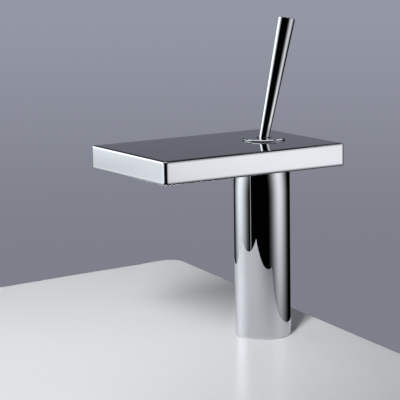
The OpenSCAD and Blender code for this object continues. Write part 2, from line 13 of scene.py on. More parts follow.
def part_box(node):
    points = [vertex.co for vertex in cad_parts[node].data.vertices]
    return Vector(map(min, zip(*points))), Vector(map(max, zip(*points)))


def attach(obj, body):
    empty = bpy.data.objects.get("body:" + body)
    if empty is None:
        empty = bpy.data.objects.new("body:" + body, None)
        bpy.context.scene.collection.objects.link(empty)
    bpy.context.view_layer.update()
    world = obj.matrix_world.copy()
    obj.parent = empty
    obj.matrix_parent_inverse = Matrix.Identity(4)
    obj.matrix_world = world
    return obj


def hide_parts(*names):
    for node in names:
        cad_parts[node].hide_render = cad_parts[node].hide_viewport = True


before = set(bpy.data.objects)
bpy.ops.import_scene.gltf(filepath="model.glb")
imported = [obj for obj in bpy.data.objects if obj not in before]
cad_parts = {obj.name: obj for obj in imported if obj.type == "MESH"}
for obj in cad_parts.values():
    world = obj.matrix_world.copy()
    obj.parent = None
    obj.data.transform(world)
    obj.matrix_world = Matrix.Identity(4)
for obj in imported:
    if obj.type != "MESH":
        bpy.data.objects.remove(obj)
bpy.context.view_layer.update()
MM = 0.001

# ---------------------------------------------------------------- sizes, from the frame

SHELL_LOW, SHELL_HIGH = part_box("spout_shell")
COLUMN_LOW, COLUMN_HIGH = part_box("column_tube")
DISC_LOW, DISC_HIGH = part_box("cover_disc")
SEAL_LOW, SEAL_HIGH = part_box("disc_seal")
GASKET_LOW, GASKET_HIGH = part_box("foot_gasket")
STUD_LOW, STUD_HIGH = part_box("fixing_stud")
PIN_LOW, PIN_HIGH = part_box("pivot_pin")
BASE_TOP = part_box("spout_base")[1].z
SCREWS_LOW, SCREWS_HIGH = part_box("base_screws")

# ---------------------------------------------------------------- sizes that are drawn

CORNER_R = 3 * MM          # upright corners of the spout
TOP_ARRIS = 1.5 * MM
LOW_ARRIS = 0.4 * MM
CORNER_STEPS, TOP_STEPS, LOW_STEPS = 10, 5, 2
TOP_ROLL = 0.5 * MM        # how far the buffing wheel softens a face beside each arris
LOW_ROLL = 2 * MM
CORNER_ROLL = 1.5 * MM
SHELL_WALL = 2 * MM        # thickness of its sides
SHELL_TOP = 2.5 * MM       # and of its top
LEVER_HOLE_R = 12 * MM
SLACK = 0.05 * MM          # round a screw in its boss and round the seal in its disc

TUBE_WALL = 2.2 * MM
FOOT_BEVEL = 0.4 * MM
GASKET_WIDTH = 4.9 * MM
GASKET_LIP = 0.3 * MM

LEAN = radians(13.5)       # the lever's lean at rest
PIVOT = Vector((0, 0, (PIN_LOW.z + PIN_HIGH.z) / 2))
ROD_START = 9 * MM         # from the pivot to the rod's lower end, along the lever
ROD_FACE = (SHELL_HIGH.z - PIVOT.z) / cos(LEAN)    # and from the pivot to the spout's top
ROD_LENGTH = 104.5 * MM    # above the spout's top
ROD_LOW_R = 4.25 * MM
ROD_TOP_R = 7.45 * MM
ROD_BEVEL = 0.5 * MM
ROD_BORE_R = 2.55 * MM
ROD_BORE = 7 * MM

DISC_UNDERCUT, DISC_BEVEL = 0.45, 0.4    # shares of the disc's thickness
DISC_ARRIS, DISC_LOW_ARRIS, DISC_BORE_ARRIS = 0.05 * MM, 0.03 * MM, 0.15 * MM
SEAL_GAP = 1 * MM          # from the pin to its seal
SEAL_LIP_IN, SEAL_LIP_OUT = 0.5 * MM, 0.3 * MM

SCREW_R = 1.5 * MM
SCREW_SHANK, SCREW_ROOT = 0.92, 0.82     # shares of the screw's radius
SCREW_PITCH = 0.5 * MM
SCREW_HEAD_R = 2.75 * MM
SCREW_RIM = 0.15 * MM      # straight edge of the head
SCREW_NECK = 0.4 * MM      # plain length above the head
SCREW_LAP = 0.3 * MM       # how far above the head the thread starts, inside the neck
SCREW_KEY_R = 1.15 * MM    # from the middle to the corners of the hexagon socket
SCREW_KEY_DEPTH = 0.9 * MM
POST_R = 2.9 * MM          # the bosses that take the screws
POST_SPARE = 1 * MM        # depth of their bores past the screws' ends

STUD_PITCH = 1.25 * MM
STUD_THREAD = 0.75 * MM    # depth of the stud's thread
CREST = (0.44, 0.56)       # where a thread's crest starts and ends, in pitches

GUARD = 2.2                # from a bevelled corner to its guard points, in bevel sizes
GUARD_PARTS = 2.2          # and at most the length of the side, over this
CREASE = radians(38)       # faces that meet at more than this keep a sharp edge
ROUND = 192                # faces round a large turned piece
SEAL_ROUND, HOLE_ROUND, SCREW_ROUND, POST_ROUND = 96, 64, 48, 32
STUD_TURN, SCREW_TURN = 24, 16    # faces in one turn of a thread
UPRIGHT_RISE = 1 * MM      # an edge that rises more than this is an upright one

SAME_PLACE = 1e-6
TOUCHING = 1e-7
SAME_WAY = 0.999           # cosine between two directions that count as one


# ---------------------------------------------------------------- shader maths

class Value:
    """A shader socket that adds, subtracts and multiplies like a number."""

    def __init__(self, graph, socket):
        self.graph = graph
        self.socket = socket

    def math(self, operation, *others):
        inputs = dict(enumerate([self, *others]))
        return self.graph.node("Math", {"operation": operation}, inputs)

    def __add__(self, other):
        return self.math("ADD", other)

    __radd__ = __add__

    def __sub__(self, other):
        return self.math("SUBTRACT", other)

    def __rsub__(self, other):
        return self.graph.node("Math", {"operation": "SUBTRACT"}, {0: other, 1: self})

    def __mul__(self, other):
        return self.math("MULTIPLY", other)

    __rmul__ = __mul__

    def ramp(self, low, high):
        """0 at low, 1 at high and a smooth step between them; low may be the larger."""
        edges = {0: self, 1: min(low, high), 2: max(low, high), 3: 0.0, 4: 1.0}
        step = self.graph.node("MapRange", {"interpolation_type": "SMOOTHSTEP"}, edges)
        return step if low < high else 1 - step

    def between(self, low, high):
        """Low where this is 0, high where it is 1."""
        return low + (high - low) * self


class Graph:
    """The nodes of one material or world."""

    def __init__(self, owner):
        self.owner = owner
        owner.use_nodes = True
        self.tree = owner.node_tree
        self.tree.nodes.clear()

    def node(self, kind, settings=None, inputs=None, out=0):
        """Adds a node, sets it up, fills its sockets and returns one of its outputs."""
        made = self.tree.nodes.new("ShaderNode" + kind)
        for name, value in (settings or {}).items():
            setattr(made, name, value)
        for key, value in (inputs or {}).items():
            if isinstance(value, Value):
                self.tree.links.new(value.socket, made.inputs[key])
            else:
                made.inputs[key].default_value = value
        return Value(self, made.outputs[out]) if len(made.outputs) else made

    def place(self, stretch=(1, 1, 1)):
        """A point on the piece, in metres, stretched along its axes."""
        point = self.node("TexCoord", out="Object")
        return self.node("Mapping", None, {"Vector": point, "Scale": stretch})

    def noise(self, point, scale, detail=2.0, roughness=0.5):
        """Cloudy noise, with about this many features in a metre."""
        inputs = {"Vector": point, "Scale": scale, "Detail": detail, "Roughness": roughness}
        return self.node("TexNoise", None, inputs)

    def blend(self, share, low, high):
        """A colour between two others."""
        inputs = {0: share, 6: low, 7: high}
        return self.node("Mix", {"data_type": "RGBA"}, inputs, out=2)

    def bump(self, height, strength, distance):
        inputs = {"Strength": strength, "Distance": distance, "Height": height}
        return self.node("Bump", None, inputs)

    def finish(self, metallic, specular=0.5, **sockets):
        """Ends a material that reflects. The sockets are named with _ for a space."""
        inputs = {"Metallic": metallic, "Specular IOR Level": specular}
        inputs.update({key.replace("_", " "): value for key, value in sockets.items()})
        shader = self.node("BsdfPrincipled", None, inputs)
        self.node("OutputMaterial", None, {"Surface": shader})
        return self.owner

    def glow(self, tint, light):
        """Ends a material that shines."""
        shader = self.node("Emission", None, {"Color": tint, "Strength": light})
        self.node("OutputMaterial", None, {"Surface": shader})
        return self.owner


def material_graph(name):
    """The empty graph of a new material."""
    return Graph(bpy.data.materials.new(name))


def tone(r, g, b):
    """An opaque colour."""
    return (r, g, b, 1.0)


# ---------------------------------------------------------------- finishes

METAL, NOT_METAL = 1.0, 0.0
MIRROR, HAZE, WIPE = 0.012, 0.02, 0.02    # chrome's roughness, and what marks add to it
METAL_PATCHES, METAL_RINGS = 0.16, 0.1    # what these add to turned metal's roughness


def chrome():
    """Bright plating: a mirror with the faintest haze, wipe marks and rolling of the surface."""
    graph = material_graph("bright_chrome")
    point = graph.place()
    patches = graph.noise(point, 22, 3)
    wipes = graph.noise(graph.place((1, 0.12, 1)), 160, 3, 0.6)
    plating = graph.blend(patches, tone(0.60, 0.62, 0.645), tone(0.65, 0.665, 0.685))
    rolling = graph.bump(graph.noise(point, 55, 2), 0.02, 0.6 * MM)
    dulled = MIRROR + HAZE * patches.ramp(0.5, 0.72) + WIPE * wipes.ramp(0.58, 0.8)
    return graph.finish(METAL, Base_Color=plating, Roughness=dulled, Normal=rolling)


def turned_metal(name, dark, light, rough):
    """Metal off a lathe: fine rings round the upright axis, dulled in patches."""
    graph = material_graph(name)
    patches = graph.noise(graph.place(), 90, 4, 0.6)
    rings = graph.noise(graph.place((0.05, 0.05, 1)), 2600, 2)
    return graph.finish(METAL, Base_Color=graph.blend(patches, dark, light),
                        Roughness=rough + METAL_PATCHES * patches + METAL_RINGS * rings,
                        Normal=graph.bump(rings, 0.25, 0.04 * MM))


def brass():
    """Brass as the lathe leaves it."""
    return turned_metal("machined_brass", tone(0.56, 0.38, 0.15), tone(0.80, 0.60, 0.30), 0.18)


def copper():
    """Drawn copper pipe."""
    return turned_metal("drawn_copper", tone(0.50, 0.22, 0.12), tone(0.86, 0.46, 0.30), 0.2)


def steel():
    """The screws, the stud, its washer, the pivot and the spindle."""
    return turned_metal("plain_steel", tone(0.42, 0.42, 0.43), tone(0.62, 0.62, 0.62), 0.2)


def moulded_rubber(name, dark, light):
    """Moulded rubber with a dusty bloom."""
    graph = material_graph(name)
    bloom = graph.noise(graph.place(), 260, 4, 0.65)
    grain = graph.noise(graph.place(), 5200, 2)
    return graph.finish(NOT_METAL, specular=0.35,
                        Base_Color=graph.blend(bloom.ramp(0.45, 0.75), dark, light),
                        Roughness=bloom.between(0.5, 0.75),
                        Normal=graph.bump(grain, 0.3, 0.05 * MM))


def rubber():
    """The black rubber of seals, gaskets and the clamp's pad."""
    return moulded_rubber("black_rubber", tone(0.012, 0.012, 0.013), tone(0.035, 0.035, 0.036))


def pale_rubber():
    """The light grey rubber of the joint under the column."""
    return moulded_rubber("pale_rubber", tone(0.42, 0.42, 0.44), tone(0.50, 0.50, 0.52))


def moulded_plastic(name, dark, light):
    """Engineering plastic: slightly mottled, with the fine spark-eroded grain of its mould."""
    graph = material_graph(name)
    mottle = graph.noise(graph.place(), 140, 4, 0.6)
    grain = graph.noise(graph.place(), 6000, 2)
    return graph.finish(NOT_METAL, Base_Color=graph.blend(mottle, dark, light),
                        Roughness=mottle.between(0.34, 0.48),
                        Normal=graph.bump(grain, 0.2, 0.03 * MM))


def white_plastic():
    """The comb in the slot, and the cartridge's parts that stay still."""
    return moulded_plastic("white_acetal", tone(0.70, 0.71, 0.70), tone(0.80, 0.81, 0.80))


def grey_plastic():
    """The waterway, and the cartridge's parts that move."""
    return moulded_plastic("grey_acetal", tone(0.18, 0.20, 0.22), tone(0.26, 0.28, 0.31))


def ceramic():
    """Lapped alumina: a smooth face with a fine speckle."""
    graph = material_graph("lapped_ceramic")
    speckle = graph.noise(graph.place(), 2400, 3)
    body = graph.blend(speckle, tone(0.74, 0.72, 0.66), tone(0.86, 0.84, 0.79))
    return graph.finish(NOT_METAL, Base_Color=body, Roughness=speckle.between(0.12, 0.24),
                        Normal=graph.bump(speckle, 0.1, 0.02 * MM))


FINISHES = {"chrome": chrome(), "brass": brass(), "copper": copper(), "steel": steel(),
            "rubber": rubber(), "white_plastic": white_plastic(), "grey_plastic": grey_plastic(),
            "ceramic": ceramic()}


def finish_frame():
    """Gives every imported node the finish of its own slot."""
    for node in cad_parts.values():
        for place in node.material_slots:
            place.material = FINISHES[place.material.name]


# ---------------------------------------------------------------- making pieces

def scene_object(name, data):
    """Puts a mesh, a lamp or a camera into the scene."""
    made = bpy.data.objects.new(name, data)
    bpy.context.scene.collection.objects.link(made)
    return made


def mesh_object(name, bm, material):
    """Turns a bmesh into an object of one material."""
    mesh = bpy.data.meshes.new(name)
    bm.to_mesh(mesh)
    bm.free()
    made = scene_object(name, mesh)
    made.data.materials.append(material)
    return made


def shade(bm):
    """Smooth faces, with a sharp edge wherever two meet at more than the crease."""
    for face in bm.faces:
        face.smooth = True
    for edge in bm.edges:
        edge.smooth = edge.calc_face_angle(pi) < CREASE


def piece(name, bm, body, slot, *stands_for, material=None):
    """Turns a bmesh into a finished piece that rides on a body."""
    shade(bm)
    made = mesh_object(name, bm, material or FINISHES[slot])
    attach(made, body)
    if stands_for:
        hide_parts(*stands_for)
    return made


def outline(bm, points):
    """A closed outline in the XZ plane through (radius, height) points.

    A point may also give a bevel's size and segments. Such a corner gets a guard point on each
    side, so that the flat faces beside it stay flat when they are shaded smooth.
    """
    ends = [Vector((p[0], 0, p[1])) for p in points]
    verts, corners = [], []
    for i, point in enumerate(points):
        before, here, after = ends[i - 1], ends[i], ends[(i + 1) % len(ends)]
        if len(point) == 2:
            verts.append(bm.verts.new(here))
            continue
        size, segments = point[2:]
        first, middle, last = (bm.verts.new(place) for place in (
            guard_point(here, before, size), here, guard_point(here, after, size)))
        verts += [first, middle, last]
        corners.append((middle, size, segments))
    for pair in zip(verts, verts[1:] + verts[:1]):
        bm.edges.new(pair)
    for vert, size, segments in corners:
        bmesh.ops.bevel(bm, geom=[vert], affect="VERTICES", offset=size,
                        segments=segments, profile=0.5, material=-1)


def guard_point(corner, neighbour, size):
    """A place on the side from a corner to its neighbour, just past the corner's bevel."""
    side = neighbour - corner
    return corner + side.normalized() * min(GUARD * size, side.length / GUARD_PARTS)


def turned(points, steps=ROUND):
    """An outline spun once round the Z axis, with its seam and poles closed."""
    bm = bmesh.new()
    outline(bm, points)
    bmesh.ops.spin(bm, geom=bm.verts[:] + bm.edges[:], cent=(0, 0, 0), axis=(0, 0, 1),
                   angle=2 * pi, steps=steps, use_merge=True, use_duplicate=False)
    bmesh.ops.remove_doubles(bm, verts=bm.verts[:], dist=TOUCHING)
    bmesh.ops.delete(bm, geom=[e for e in bm.edges if not e.link_faces], context="EDGES")
    bmesh.ops.recalc_face_normals(bm, faces=bm.faces[:])
    return bm


def join(bm, other):
    """Adds another bmesh to this one."""
    mesh = bpy.data.meshes.new("spare")
    other.to_mesh(mesh)
    other.free()
    bm.from_mesh(mesh)
    bpy.data.meshes.remove(mesh)


def move(bm, x, y):
    """Shifts a piece that was drawn on the Z axis."""
    bmesh.ops.translate(bm, verts=bm.verts[:], vec=(x, y, 0))


def upright_edges(bm):
    return [e for e in bm.edges if abs(e.verts[0].co.z - e.verts[1].co.z) > UPRIGHT_RISE]


def level_edges(bm, z):
    return [e for e in bm.edges if all(abs(v.co.z - z) < SAME_PLACE for v in e.verts)]


def largest_face(bm, direction):
    """The largest flat face that looks one way."""
    faces = [f for f in bm.faces if f.normal.dot(Vector(direction)) > SAME_WAY]
    return max(faces, key=lambda f: f.calc_area())


def once(parts):
    """Each part a single time, in the order in which they first come."""
    return list(dict.fromkeys(parts))


def only(kind, geom):
    """The parts of one kind among those that an operator returns."""
    return [part for part in geom if isinstance(part, kind)]


def round_over(bm, edges, size, segments):
    """Rounds edges off by one size."""
    bmesh.ops.bevel(bm, geom=edges, affect="EDGES", offset=size, segments=segments,
                    profile=0.5, material=-1, offset_type="OFFSET")


def ring(bm, centre, radius, steps=HOLE_ROUND):
    """A circle of edges, not filled."""
    made = bmesh.ops.create_circle(bm, cap_ends=False, radius=radius, segments=steps,
                                   matrix=Matrix.Translation(centre))
    return once(e for v in made["verts"] for e in v.link_edges)


def hole_through(bm, face, circle):
    """Refills a flat face round a circle."""
    rim = list(face.edges)
    normal = face.normal.copy()
    bmesh.ops.delete(bm, geom=[face], context="FACES_ONLY")
    bmesh.ops.triangle_fill(bm, use_beauty=True, edges=rim + circle, normal=normal)


def bore(bm, faces, heights, radius):
    """Opens a round hole on the Z axis between two flat faces at these heights."""
    circles = [ring(bm, (0, 0, z), radius) for z in heights]
    for face, circle in zip(faces, circles):
        hole_through(bm, face, circle)
    bmesh.ops.bridge_loops(bm, edges=circles[0] + circles[1])
    bmesh.ops.recalc_face_normals(bm, faces=bm.faces[:])


# ---------------------------------------------------------------- spout

def score(bm, point, direction):
    """Cuts a loop of edges round everything but the underside, along a plane."""
    bm.normal_update()
    faces = [f for f in bm.faces if f.normal.z > -SAME_WAY]
    edges = once(e for f in faces for e in f.edges)
    verts = once(v for f in faces for v in f.verts)
    bmesh.ops.bisect_plane(bm, geom=faces + edges + verts, dist=TOUCHING, plane_co=point,
                           plane_no=direction)


def screw_places():
    """The eight screws: two rows along the spout, four in each."""
    x = SCREWS_HIGH.x - SCREW_HEAD_R
    first, last = SCREWS_LOW.y + SCREW_HEAD_R, SCREWS_HIGH.y - SCREW_HEAD_R
    return [(side * x, first + i * (last - first) / 3) for side in (-1, 1) for i in range(4)]


def spout_cover():
    """The polished shell: four softened sides and a flat top, hollow from below."""
    bm = bmesh.new()
    size, middle = SHELL_HIGH - SHELL_LOW, (SHELL_HIGH + SHELL_LOW) / 2
    bmesh.ops.create_cube(bm, size=1,
                          matrix=Matrix.Translation(middle) @ Matrix.Diagonal((*size, 1)))
    round_over(bm, upright_edges(bm), CORNER_R, CORNER_STEPS)
    round_over(bm, level_edges(bm, SHELL_HIGH.z), TOP_ARRIS, TOP_STEPS)
    round_over(bm, level_edges(bm, SHELL_LOW.z), LOW_ARRIS, LOW_STEPS)
    score(bm, (0, 0, SHELL_HIGH.z - TOP_ARRIS - TOP_ROLL), (0, 0, 1))
    score(bm, (0, 0, SHELL_LOW.z + LOW_ARRIS + LOW_ROLL), (0, 0, 1))
    inset = Vector((1, 1, 0)) * (CORNER_R + CORNER_ROLL)
    for corner in (SHELL_LOW + inset, SHELL_HIGH - inset):
        score(bm, corner, (1, 0, 0))
        score(bm, corner, (0, 1, 0))
    bm.normal_update()

    under = largest_face(bm, (0, 0, -1))
    bmesh.ops.inset_region(bm, faces=[under], thickness=SHELL_WALL - LOW_ARRIS, depth=0,
                           use_even_offset=True, use_boundary=True)
    raised = bmesh.ops.extrude_discrete_faces(bm, faces=[under])["faces"]
    ceiling_z = SHELL_HIGH.z - SHELL_TOP
    bmesh.ops.translate(bm, verts=raised[0].verts[:], vec=(0, 0, ceiling_z - SHELL_LOW.z))
    bm.normal_update()
    top, ceiling = largest_face(bm, (0, 0, 1)), largest_face(bm, (0, 0, -1))
    bore(bm, (top, ceiling), (SHELL_HIGH.z, ceiling_z), LEVER_HOLE_R)
    for x, y in screw_places():
        join(bm, screw_post(x, y, ceiling_z))
    return piece("spout_cover", bm, "root", "chrome", "spout_shell")


def screw_post(x, y, ceiling_z):
    """A boss that hangs from the ceiling, bored for one screw."""
    hole, hole_end = SCREW_R + SLACK, SCREWS_HIGH.z + POST_SPARE
    bm = turned([(0, ceiling_z), (POST_R, ceiling_z), (POST_R, BASE_TOP), (hole, BASE_TOP),
                 (hole, hole_end), (0, hole_end + hole)], POST_ROUND)
    move(bm, x, y)
    return bm


def thread(root_r, crest_r, pitch, low, high, steps):
    """A helical screw thread with this many steps in a turn, cut square at both ends."""
    bm = bmesh.new()
    turns = ceil((high - low) / pitch) + 2
    start = low - pitch
    profile = ((root_r, 0), (crest_r, CREST[0]), (crest_r, CREST[1]), (root_r, 1))
    line = [bm.verts.new((r, 0, start + share * pitch)) for r, share in profile]
    edges = [bm.edges.new(pair) for pair in zip(line, line[1:])]
    bmesh.ops.spin(bm, geom=line + edges, cent=(0, 0, 0), axis=(0, 0, 1),
                   dvec=(0, 0, pitch / steps), angle=2 * pi * turns, steps=steps * turns,
                   use_merge=False, use_duplicate=False)
    bmesh.ops.remove_doubles(bm, verts=bm.verts[:], dist=SAME_PLACE)
    for z, side in ((low, -1), (high, 1)):
        geom = bm.verts[:] + bm.edges[:] + bm.faces[:]
        cut = bmesh.ops.bisect_plane(bm, geom=geom, dist=TOUCHING, plane_co=(0, 0, z),
                                     plane_no=(0, 0, side), clear_outer=True)
        rim = only(bmesh.types.BMEdge, cut["geom_cut"])
        bmesh.ops.triangle_fill(bm, use_beauty=True, edges=rim, normal=(0, 0, side))
    bmesh.ops.recalc_face_normals(bm, faces=bm.faces[:])
    return bm


def hexagon_socket(bm, z, depth):
    """Opens a blind hexagon in the flat head of a turned screw, at height z."""
    pole = min(bm.verts, key=lambda v: (v.co - Vector((0, 0, z))).length)
    bmesh.ops.delete(bm, geom=[pole], context="VERTS")
    mouth = [e for e in bm.edges if e.is_boundary]
    hexagon = ring(bm, (0, 0, z), SCREW_KEY_R, 6)
    bmesh.ops.triangle_fill(bm, use_beauty=True, edges=mouth + hexagon, normal=(0, 0, -1))
    walls = bmesh.ops.extrude_edge_only(bm, edges=hexagon)["geom"]
    verts = only(bmesh.types.BMVert, walls)
    bmesh.ops.translate(bm, verts=verts, vec=(0, 0, depth))
    floor = [e for e in only(bmesh.types.BMEdge, walls) if all(v in verts for v in e.verts)]
    bmesh.ops.contextual_create(bm, geom=floor)
    bmesh.ops.recalc_face_normals(bm, faces=bm.faces[:])


def underside_screws():
    """Countersunk screws with hexagon sockets and cut threads."""
    low, high = SCREWS_LOW.z, SCREWS_HIGH.z
    shank_r = SCREW_R * SCREW_SHANK
    head_top = low + (SCREW_HEAD_R - SCREW_R)
    whole = bmesh.new()
    for x, y in screw_places():
        bm = turned([(0, head_top + SCREW_NECK), (shank_r, head_top + SCREW_NECK),
                     (shank_r, head_top), (SCREW_HEAD_R, low + SCREW_RIM),
                     (SCREW_HEAD_R, low), (0, low)], SCREW_ROUND)
        hexagon_socket(bm, low, SCREW_KEY_DEPTH)
        join(bm, thread(SCREW_R * SCREW_ROOT, SCREW_R, SCREW_PITCH, head_top + SCREW_LAP,
                        high, SCREW_TURN))
        move(bm, x, y)
        join(whole, bm)
    return piece("underside_screws", whole, "root", "steel", "base_screws")


# ---------------------------------------------------------------- column and lever

def column_sleeve():
    """The round tube, softened at its foot."""
    r, low, high = COLUMN_HIGH.x, COLUMN_LOW.z, COLUMN_HIGH.z
    inner = r - TUBE_WALL
    bm = turned([(inner, low), (r, low, FOOT_BEVEL, 4), (r, high), (inner, high)])
    return piece("column_sleeve", bm, "root", "chrome", "column_tube")


def foot_gasket_ring():
    """The flat joint under the column."""
    r, low, high = GASKET_HIGH.x, GASKET_LOW.z, GASKET_HIGH.z
    inner, lip = r - GASKET_WIDTH, (GASKET_LIP, 3)
    bm = turned([(inner, low), (r, low, *lip), (r, high, *lip), (inner, high)])
    return piece("foot_gasket_ring", bm, "root", "rubber", "foot_gasket", material=pale_rubber())


def lean_over(bm):
    """Stands a piece that was drawn upright, from the pivot, into the lever's rest pose."""
    turn_back = Matrix.Rotation(-LEAN, 4, "X")
    bmesh.ops.transform(bm, matrix=Matrix.Translation(PIVOT) @ turn_back, verts=bm.verts[:])


def lever_pin():
    """The tapered pin, bored at its foot for the spindle."""
    top, bore_end = ROD_FACE + ROD_LENGTH, ROD_START + ROD_BORE
    taper = (ROD_TOP_R - ROD_LOW_R) / ROD_LENGTH
    foot_r = ROD_LOW_R + taper * (ROD_START - ROD_FACE)
    bm = turned([(0, bore_end), (ROD_BORE_R, bore_end), (ROD_BORE_R, ROD_START),
                 (foot_r, ROD_START, ROD_BEVEL, 3), (ROD_TOP_R, top, ROD_BEVEL, 5), (0, top)])
    lean_over(bm)
    return piece("lever_pin", bm, "lever", "chrome", "handle_rod")


def lever_cover_disc():
    """The flat disc that slides on the spout under the pin."""
    r, low, high = DISC_HIGH.x, DISC_LOW.z, DISC_HIGH.z
    inner = SEAL_HIGH.x + SLACK
    undercut, bevel = DISC_UNDERCUT * (high - low), DISC_BEVEL * (high - low)
    bm = turned([(inner, low), (r - undercut, low), (r, low + undercut, DISC_LOW_ARRIS, 2),
                 (r, high - bevel, DISC_ARRIS, 2), (r - bevel, high, DISC_ARRIS, 2),
                 (inner, high, DISC_BORE_ARRIS, 3)])
    move(bm, 0, ((DISC_LOW + DISC_HIGH) / 2).y)
    return piece("lever_cover_disc", bm, "cover", "chrome", "cover_disc")


def lever_seal_ring():
    """The rubber ring between the pin and its disc, with a rounded lip."""
    r, low, high = SEAL_HIGH.x, SEAL_LOW.z, SEAL_HIGH.z
    inner = ROD_LOW_R + SEAL_GAP
    bm = turned([(inner, low), (r, low), (r, high, SEAL_LIP_OUT, 4),
                 (inner, high, SEAL_LIP_IN, 5)], SEAL_ROUND)
    move(bm, 0, ((DISC_LOW + DISC_HIGH) / 2).y)
    return piece("lever_seal_ring", bm, "cover", "rubber", "disc_seal")


# ---------------------------------------------------------------- deck fixing

def threaded_stud():
    """The stud that passes through the deck, threaded all along."""
    r = (STUD_HIGH.x - STUD_LOW.x) / 2
    bm = thread(r - STUD_THREAD, r, STUD_PITCH, STUD_LOW.z, STUD_HIGH.z, STUD_TURN)
    move(bm, 0, (STUD_LOW.y + STUD_HIGH.y) / 2)
    return piece("threaded_stud", bm, "root", "steel", "fixing_stud")


# ---------------------------------------------------------------- stage, light and camera

DECK_CORNERS = ((-0.338, 0.070), (-0.229, -0.43), (0.308, -0.374), (0.322, 0.074))
DECK_TURN = radians(-7.2)  # the deck stands a little askew under the spout
DECK_DEPTH = 20 * MM       # what the clamp is set for
DECK_CORNER, DECK_EDGE, DECK_FOOT = 22 * MM, 6 * MM, 2 * MM    # how far its edges are rounded
DECK_CORNER_STEPS, DECK_EDGE_STEPS, DECK_FOOT_STEPS = 12, 8, 3
DECK_MARGIN = 8 * MM       # a flat rim, so that the fill round the hole stays off the edges
DECK_HOLE_R = 17.5 * MM

CAMERA_AZIMUTH, CAMERA_ELEVATION, CAMERA_ROLL = 58.12, 9.79, -0.88    # degrees
CAMERA_DISTANCE, CAMERA_AIM = 1.5609, Vector((-0.0292, -0.0439, 0.1175))
CAMERA_NEAR, CAMERA_FAR = 0.05, 50
SENSOR = 36                # width in millimetres
FOCAL_PIXELS, PICTURE_PIXELS = 1829, 400
VIEW_BEARING = CAMERA_AZIMUTH - 90    # of the camera, from the object

CARD_R = 1.15              # distance of the cards that stand round the set
CARD_LOW, CARD_HIGH = -0.8, 0.75
CARD_STEPS = 24
FLAG_HIGH = 0.12           # top of the two dark cards past the cloths' outer ends

# bearings in degrees: the cloths' middles and the seam from the camera's own, and the ends of
# all four side cards from the middles of the cloths
LEFT_CLOTH, RIGHT_CLOTH = -103, 73
LEFT_START, LEFT_END, RIGHT_START, RIGHT_END = -50, 60, -53, 61
LEFT_FLAG, RIGHT_FLAG = (-70, -45), (61, 95)
SEAM = VIEW_BEARING - 49
SEAM_HALF, SEAM_LIGHT = 2.2, 0.6    # half its width, and what it adds

# heights on a lit cloth over which its light changes
BELT_IN, BELT_OUT = (-0.07, -0.02), (-0.01, 0.06)
CROWN, CROWN_TURN = (-0.01, 0.08), (0.05, 0.3)
CLOTH_FOOT, SEAM_FADE = (-0.46, 0.1), (0.08, 0)

# corners of the ceiling panels from above: x towards the camera, y to its right
PANELS = (((0.9, -1.6), (0.9, 1.06), (-0.12, 1.06), (0.02, 0), (-1.9, -1.6)),
          ((-0.42, 1.22), (-0.30, 1.42), (-1.7, 2.9), (-2.9, 2.4)))
PANEL_Z, PANEL_LIGHT, PANEL_CLOUD = 2.0, 1.1, 0.1

SURROUND_LOW, SURROUND, SURROUND_OVERHEAD = (
    tone(0.207, 0.217, 0.259), tone(0.301, 0.316, 0.377), tone(0.03, 0.031, 0.036))
SURROUND_RISE, SURROUND_DIM = (-0.2, -0.05), (-0.02, 0.30)    # sines of elevations

LAMP_SIZE, LAMP_SPREAD, LAMP_POWER = (0.35, 1.1), radians(42), 4.4
LAMP_PLACE, LAMP_AIM = Vector((0.98, -1.17, 0.955)), Vector((-0.09, -0.17, 0))


def stage_object(name, bm, material):
    """Turns a bmesh into an object of one material, for the set round the product."""
    made = mesh_object(name, bm, material)
    return made


def hide_from_camera(made):
    """Leaves what lights the object or shows in it, without its own look and its shadow."""
    made.visible_camera = False
    made.visible_shadow = False


def glazed_deck():
    """White glazed ware."""
    graph = material_graph("glazed_deck")
    cloud = graph.noise(graph.place(), 6, 1)
    glaze = graph.blend(cloud, tone(0.79, 0.795, 0.815), tone(0.81, 0.81, 0.83))
    return graph.finish(NOT_METAL, specular=0.25, Base_Color=glaze, Roughness=0.27)


def deck():
    """The pale floor: a plain glazed slab with softened edges and a tap hole, its top at z = 0."""
    bm = bmesh.new()
    foot = bm.faces.new([bm.verts.new((x, y, -DECK_DEPTH)) for x, y in DECK_CORNERS])
    raised = bmesh.ops.extrude_face_region(bm, geom=[foot])["geom"]
    bmesh.ops.translate(bm, verts=only(bmesh.types.BMVert, raised), vec=(0, 0, DECK_DEPTH))
    bmesh.ops.recalc_face_normals(bm, faces=bm.faces[:])
    round_over(bm, upright_edges(bm), DECK_CORNER, DECK_CORNER_STEPS)
    round_over(bm, level_edges(bm, 0), DECK_EDGE, DECK_EDGE_STEPS)
    round_over(bm, level_edges(bm, -DECK_DEPTH), DECK_FOOT, DECK_FOOT_STEPS)
    bm.normal_update()
    faces = [largest_face(bm, (0, 0, 1)), largest_face(bm, (0, 0, -1))]
    bmesh.ops.inset_individual(bm, faces=faces, thickness=DECK_MARGIN, depth=0,
                               use_even_offset=True)
    bore(bm, faces, (0, -DECK_DEPTH), DECK_HOLE_R)
    bmesh.ops.rotate(bm, verts=bm.verts[:], cent=(0, 0, 0),
                     matrix=Matrix.Rotation(DECK_TURN, 3, "Z"))
    shade(bm)
    return stage_object("deck", bm, glazed_deck())


def card(name, start, end, material, high=CARD_HIGH):
    """A curved card round the set, between two bearings in degrees, unseen by the camera."""
    bm = bmesh.new()
    foot = bm.verts.new((CARD_R * cos(radians(start)), CARD_R * sin(radians(start)), CARD_LOW))
    head = bm.verts.new((foot.co.x, foot.co.y, high))
    edge = bm.edges.new((foot, head))
    bmesh.ops.spin(bm, geom=[foot, head, edge], cent=(0, 0, 0), axis=(0, 0, 1),
                   angle=radians(end - start), steps=CARD_STEPS, use_merge=False,
                   use_duplicate=False)
    hide_from_camera(stage_object(name, bm, material))


